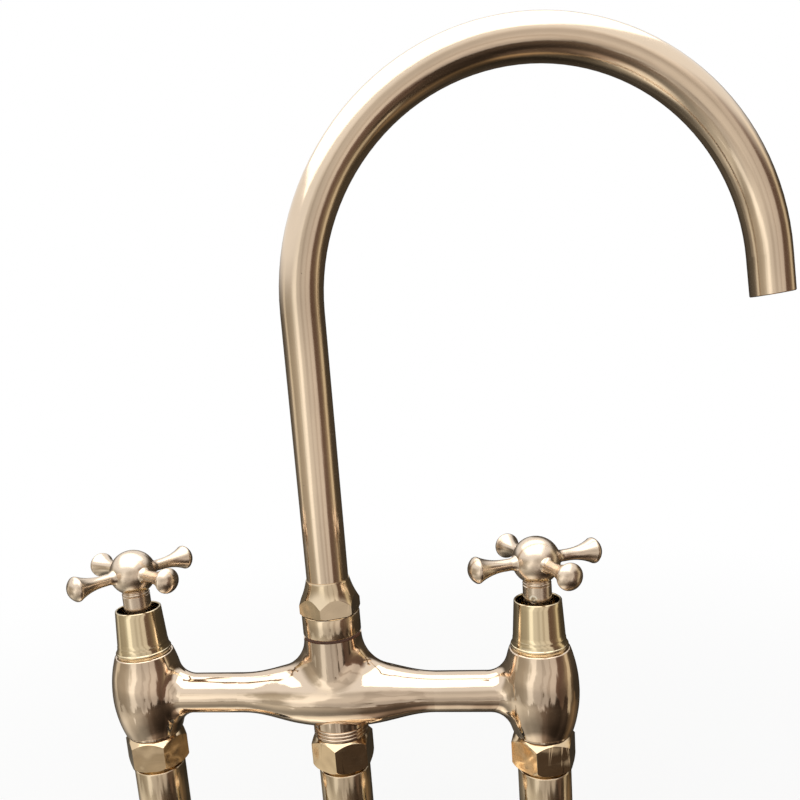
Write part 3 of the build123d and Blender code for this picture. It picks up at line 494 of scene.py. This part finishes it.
grained, spot, gives = effect("moulded_grain", "Grain", "Mottle")
grained.links.new(noise(grained, spot, 2200, 3.0, 0.6), gives.inputs["Grain"])
grained.links.new(noise(grained, spot, 160, 3.0), gives.inputs["Mottle"])


def moulded(name, colour, roughness, mottle=0.12, grain=0.00001):
    """A rubber, plastic or ceramic with a fine grain and a faint mottle."""
    unevenness = 0.12
    made, tree = dressed(name)
    shader = tree.nodes["Principled BSDF"]
    surface = use(tree, grained, node(tree, "ShaderNodeTexCoord").outputs["Object"])
    darker, lighter = tint(colour, 1 - mottle), tint(colour, 1 + mottle)
    tones = ramp(tree, surface["Mottle"], [(0.3, darker), (0.7, lighter)])
    tree.links.new(tones, shader.inputs["Base Color"])
    rough = calc(tree, "MULTIPLY_ADD", surface["Grain"], unevenness, roughness - unevenness / 2)
    tree.links.new(rough, shader.inputs["Roughness"])
    bump = node(tree, "ShaderNodeBump")
    bump.inputs["Distance"].default_value = grain
    tree.links.new(surface["Grain"], bump.inputs["Height"])
    tree.links.new(bump.outputs[0], shader.inputs["Normal"])
    return made


# Fibre painted dark brown instead of its red: painted shade in the narrow gaps where these washers show
fibre = moulded("fibre_darkened_as_shade", (0.12, 0.055, 0.035), 0.62, mottle=0.3, grain=0.00003)
finish(fibre, "union_washers", "socket_washer")


# ---------------------------------------------------------------------------------------------
# Legs: drawn brass tube, polished along its length, with a faced rim at the top. Each stands in
# a turned flange that covers its hole in the deck and a rubber gasket.
drawn_tube, spot, gives = effect("drawn_lines", "Lines")
lengthwise = mapped(drawn_tube, spot, stretch=(700, 700, 6))
drawn_tube.links.new(noise(drawn_tube, lengthwise, 1.0, 3.0), gives.inputs["Lines"])
lathe, spot, gives = effect("lathe_rings", "Lines")
axes = node(lathe, "ShaderNodeSeparateXYZ")
lathe.links.new(spot, axes.inputs[0])


def hypotenuse(tree, one, other):
    """The length of two distances at right angles."""
    squares = calc(tree, "ADD", calc(tree, "POWER", one, 2), calc(tree, "POWER", other, 2))
    return calc(tree, "SQRT", squares)


across = hypotenuse(lathe, axes.outputs["X"], axes.outputs["Y"])
rings = node(lathe, "ShaderNodeTexNoise", noise_dimensions="1D")
rings.inputs["Scale"].default_value = 2600
rings.inputs["Detail"].default_value = 3.0
lathe.links.new(calc(lathe, "ADD", across, axes.outputs["Z"]), rings.inputs["W"])
lathe.links.new(rings.outputs["Fac"], gives.inputs["Lines"])


def drawn(tree, where):
    """Lines along an upright tube."""
    return use(tree, drawn_tube, where)["Lines"]


def lathed_at(x):
    """Lathe rings round the column at that place along the bridge."""
    def rings_of(tree, where):
        return use(tree, lathe, mapped(tree, where, move=(-x, 0, 0)))["Lines"]
    return rings_of


columns = {"hot": -column_pitch, "centre": 0.0, "cold": column_pitch}
leg_tubes = [f"{side}_leg_tube" for side in sides]
leg_colour = (0.77, 0.62, 0.44)
bare_brass = (0.74, 0.60, 0.36)
finish(brass("polished_tube_brass", leg_colour, 0.11, marks=drawn), *leg_tubes)
soften(0.0003, *leg_tubes)
for side, x in columns.items():
    rings = lathed_at(x)
    finish(brass(f"{side}_turned_flange_brass", leg_colour, 0.13, marks=rings), f"{side}_leg_flange")
    finish(brass(f"{side}_machined_tail_brass", bare_brass, 0.24, marks=rings), f"{side}_union_tail")
rubber = moulded("black_rubber", (0.045, 0.045, 0.045), 0.6)
finish(rubber, "flange_gaskets")


# ---------------------------------------------------------------------------------------------
# Shanks: turned brass, with a G 1/2 thread cut in two lengths and a relief groove between them.
# The upper length takes the backnut and the lower one the supply connector.
thread_pitch = 0.001814
thread_crest = 0.010478
thread_depth = 0.00116
thread_root = thread_crest - thread_depth
shank_bore = 0.007
shank_top = 0.016
shank_end = -0.062
relief_radius = 0.00958
relief = (-0.0455, -0.044)
plain_radius = 0.0101
plain_end = -0.022
bore_chamfer = 0.0004
crest_chamfer = 0.0008
lead_in = 0.0009
end_step = 0.0001
runout = 0.0005
steps_round = 48
sharp_above = radians(50)


def lathe_surface(bm, *points):
    """A profile of (radius, height) points, spun round the Z axis and open at both ends."""
    corners = [bm.verts.new((radius, 0, height)) for radius, height in points]
    profile = [bm.edges.new(pair) for pair in zip(corners, corners[1:])]
    bmesh.ops.spin(
        bm, geom=corners + profile, cent=(0, 0, 0), axis=(0, 0, 1), angle=2 * pi,
        steps=steps_round, use_merge=True,
    )


def rim_at(bm, height):
    """The open edges of a mesh at a height, on the shank's outside."""
    within, inmost, outmost = 1e-6, 0.0085, 0.012

    def there(vert):
        across = Vector((vert.co.x, vert.co.y, 0)).length
        return abs(vert.co.z - height) < within and inmost < across < outmost
    return [edge for edge in bm.edges if edge.is_boundary and all(there(vert) for vert in edge.verts)]


def cut_thread(bm, low, high):
    """A helix with rounded crests and roots between two heights, cut level at both."""
    # Each point's place along the pitch, and its height out of the root as a share of the depth
    form = (
        (0.0, 0.0), (0.10, 0.04), (0.34, 0.94), (0.42, 1.0),
        (0.58, 1.0), (0.66, 0.94), (0.90, 0.04), (1.0, 0.0),
    )
    helix = bmesh.new()
    corners = [
        helix.verts.new((thread_root + thread_depth * out, 0, low + (along - 1) * thread_pitch))
        for along, out in form
    ]
    profile = [helix.edges.new(pair) for pair in zip(corners, corners[1:])]
    turns = ceil((high - low) / thread_pitch) + 2
    bmesh.ops.spin(
        helix, geom=corners + profile, cent=(0, 0, 0), axis=(0, 0, 1), angle=2 * pi * turns,
        steps=steps_round * turns, dvec=(0, 0, thread_pitch / steps_round),
    )
    bmesh.ops.remove_doubles(helix, verts=helix.verts, dist=2e-6)
    for level, outwards in ((low, -1), (high, 1)):
        bmesh.ops.bisect_plane(
            helix, geom=helix.verts[:] + helix.edges[:] + helix.faces[:], dist=1e-7,
            plane_co=(0, 0, level), plane_no=(0, 0, outwards), clear_outer=True,
        )
    cut = bpy.data.meshes.new("helix")
    helix.to_mesh(cut)
    helix.free()
    bm.from_mesh(cut)
    bpy.data.meshes.remove(cut)


lower_thread = (shank_end + lead_in, relief[0] - runout)
upper_thread = (relief[1] + runout, plain_end - runout)
for side, x in columns.items():
    bm = bmesh.new()
    lathe_surface(
        bm,
        (thread_root - end_step, shank_end),
        (shank_bore + bore_chamfer, shank_end),
        (shank_bore, shank_end + bore_chamfer),
        (shank_bore, shank_top - bore_chamfer),
        (shank_bore + bore_chamfer, shank_top),
        (thread_crest - crest_chamfer, shank_top),
        (thread_crest, shank_top - crest_chamfer),
        (thread_crest, 0),
        (plain_radius, 0),
        (plain_radius, plain_end),
    )
    lathe_surface(bm, (relief_radius, relief[0]), (relief_radius, relief[1]))
    cut_thread(bm, *lower_thread)
    cut_thread(bm, *upper_thread)
    for above, below in (
        (lower_thread[0], shank_end), (relief[0], lower_thread[1]),
        (upper_thread[0], relief[1]), (plain_end, upper_thread[1]),
    ):
        bmesh.ops.bridge_loops(bm, edges=rim_at(bm, above) + rim_at(bm, below))
    bmesh.ops.recalc_face_normals(bm, faces=bm.faces)
    for face in bm.faces:
        face.smooth = True
    for edge in bm.edges:
        if len(edge.link_faces) == 2 and edge.calc_face_angle() > sharp_above:
            edge.smooth = False
    bmesh.ops.translate(bm, vec=(x, 0, 0), verts=bm.verts)
    mesh = bpy.data.meshes.new(f"{side}_threaded_shank")
    bm.to_mesh(mesh)
    bm.free()
    shank = bpy.data.objects.new(f"{side}_threaded_shank", mesh)
    bpy.context.scene.collection.objects.link(shank)
    shank_brass = brass(f"{side}_shank_brass", bare_brass, 0.24, marks=lathed_at(x))
    mesh.materials.append(shank_brass)
    finish(shank_brass, f"{side}_shank")
    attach(shank, "base")
    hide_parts(f"{side}_shank")


# ---------------------------------------------------------------------------------------------
# Deck fixings: on each shank, under the deck, a rubber pad, a blanked stainless washer and a
# hexagon backnut of machined brass, which clamps them all against the flange above.
finish(rubber, "deck_pads")
steel_roughness = 0.34
steel_haze = 0.12
steel_hairlines = 0.1
steel, nt = dressed("blanked_stainless")
shader = nt.nodes["Principled BSDF"]
shader.inputs["Metallic"].default_value = 1.0
surface = use(nt, buffed, node(nt, "ShaderNodeTexCoord").outputs["Object"])
tones = ramp(nt, surface["Drift"], [(0.3, (0.56, 0.56, 0.54)), (0.7, (0.66, 0.66, 0.64))])
nt.links.new(tones, shader.inputs["Base Color"])
rough = calc(nt, "MULTIPLY_ADD", surface["Haze"], steel_haze, steel_roughness - steel_haze / 2)
rough = calc(nt, "MULTIPLY_ADD", surface["Hairlines"], steel_hairlines, rough)
nt.links.new(rough, shader.inputs["Roughness"])
finish(steel, "deck_washers", *(f"{valve}_spindle_clip" for valve in valves))
finish(brass("machined_brass", bare_brass, 0.26), "backnuts")
soften(0.0004, "backnuts")


# ---------------------------------------------------------------------------------------------
# Quarter-turn cartridges, screwed into the barrels under the shrouds: a turned brass bonnet and
# spindle, two lapped ceramic discs, rubber seals and a stainless clip.
ceramic = moulded("lapped_ceramic", (0.88, 0.87, 0.84), 0.16, mottle=0.03, grain=0.000001)
finish(ceramic, *(f"{valve}_{disc}" for valve in valves for disc in ("fixed_disc", "turning_disc")))
finish(rubber, "bonnet_seals")
for valve in valves:
    finish(rubber, f"{valve}_disc_seal", f"{valve}_spindle_seal")
    turned_brass = brass(f"{valve}_cartridge_brass", bare_brass, 0.22, marks=lathed_at(columns[valve]))
    finish(turned_brass, f"{valve}_bonnet", f"{valve}_spindle")


# ---------------------------------------------------------------------------------------------
# Shrouds: turned from brass tube, tapered towards the handle, with a rounded lip at the foot,
# polished on the lathe and screwed down over the bonnets.
shroud_colour = (0.80, 0.665, 0.445)
for valve in valves:
    rings = lathed_at(columns[valve])
    finish(brass(f"{valve}_shroud_brass", shroud_colour, 0.10, marks=rings, marked=0.03), f"{valve}_shroud")
    soften(0.0002, f"{valve}_shroud")


# ---------------------------------------------------------------------------------------------
# Cross handles: a turned brass ball with its bead and neck, and four turned arms screwed into it,
# with a satin finish. A hexagon-socket grub screw holds each handle to its spindle.
satin = brass("satin_brass", (0.78, 0.64, 0.50), 0.23, waves=0.00012, haze=0.14, hairlines=0.14)
finish(satin, *(f"{valve}_handle_{part}" for valve in valves for part in ("hub", "arms")))
grub_screws = [f"{valve}_grub_screw" for valve in valves]
finish(brass("plated_screw", (0.70, 0.62, 0.50), 0.2), *grub_screws)
soften(0.00012, *grub_screws)


# ---------------------------------------------------------------------------------------------
# Swivel joint: turned socket with a polished collar, fibre washer under it, and a hexagon cap
# nut with a long hollowed cone, over the spout's stem, its O-rings and an acetal washer.
hub_rings = lathed_at(columns["centre"])
collar_colour = (0.78, 0.63, 0.455)
finish(brass("polished_collar_brass", collar_colour, 0.10, marks=hub_rings, marked=0.03), "spout_socket")
finish(brass("polished_cap_brass", (0.77, 0.62, 0.43), 0.12, waves=0.0004), "spout_cap_nut")
soften(0.00025, "spout_socket", "spout_cap_nut")
finish(moulded("natural_acetal", (0.86, 0.85, 0.80), 0.42, mottle=0.02), "thrust_washer")
finish(brass("turned_stem_brass", bare_brass, 0.2, marks=hub_rings), "spout_stem")
finish(rubber, "spout_o_rings")


# ---------------------------------------------------------------------------------------------
# Gooseneck: drawn brass tube, bent round and polished along its length, which leaves hairlines
# that follow the bend. The nozzle is turned and brazed on, and its joint polished away.
spout_turn = radians(11.9)
bend_radius = 0.1115
riser_height = 0.188
bend_start = bridge_height + riser_height


def either(tree, switch, off, on):
    """The first value where the switch is 0 and the second where it is 1."""
    made = node(tree, "ShaderNodeMix", data_type="FLOAT")
    for socket, value in (("Factor", switch), ("A", off), ("B", on)):
        tree.links.new(value, made.inputs[socket])
    return made.outputs["Result"]


bend, spot, gives = effect("along_gooseneck", "Unbent", kind="NodeSocketVector")
axes = node(bend, "ShaderNodeSeparateXYZ")
bend.links.new(mapped(bend, spot, turn=(0, 0, -spout_turn)), axes.inputs[0])
back = calc(bend, "SUBTRACT", bend_radius, axes.outputs["X"])
above_start = calc(bend, "SUBTRACT", axes.outputs["Z"], bend_start)
from_middle = hypotenuse(bend, back, above_start)
along_arc = calc(bend, "MULTIPLY", calc(bend, "ARCTAN2", above_start, back), bend_radius)
under_bend = calc(bend, "LESS_THAN", above_start, 0)
on_riser = calc(bend, "MULTIPLY", under_bend, calc(bend, "GREATER_THAN", back, 0))
unbent = node(bend, "ShaderNodeCombineXYZ")
bend.links.new(either(bend, on_riser, from_middle, back), unbent.inputs["X"])
bend.links.new(axes.outputs["Y"], unbent.inputs["Y"])
bend.links.new(either(bend, on_riser, along_arc, above_start), unbent.inputs["Z"])
bend.links.new(unbent.outputs[0], gives.inputs["Unbent"])


def drawn_along_bend(tree, where):
    """Lines along the gooseneck."""
    return use(tree, drawn_tube, use(tree, bend, where)["Unbent"])["Lines"]


spout_brass = brass(
    "polished_spout_brass", (0.78, 0.63, 0.475), 0.11, waves=0.00006, marks=drawn_along_bend, marked=0.07,
)
finish(spout_brass, "spout_tube", "spout_nozzle")


# ---------------------------------------------------------------------------------------------
# Aerator: a moulded grey housing and insert against a rubber seal, screwed into the mouth of the
# nozzle and set back a little from its rim.
finish(rubber, "aerator_seal")
finish(moulded("moulded_grey_plastic", (0.16, 0.165, 0.175), 0.45), "aerator_housing", "aerator_insert")
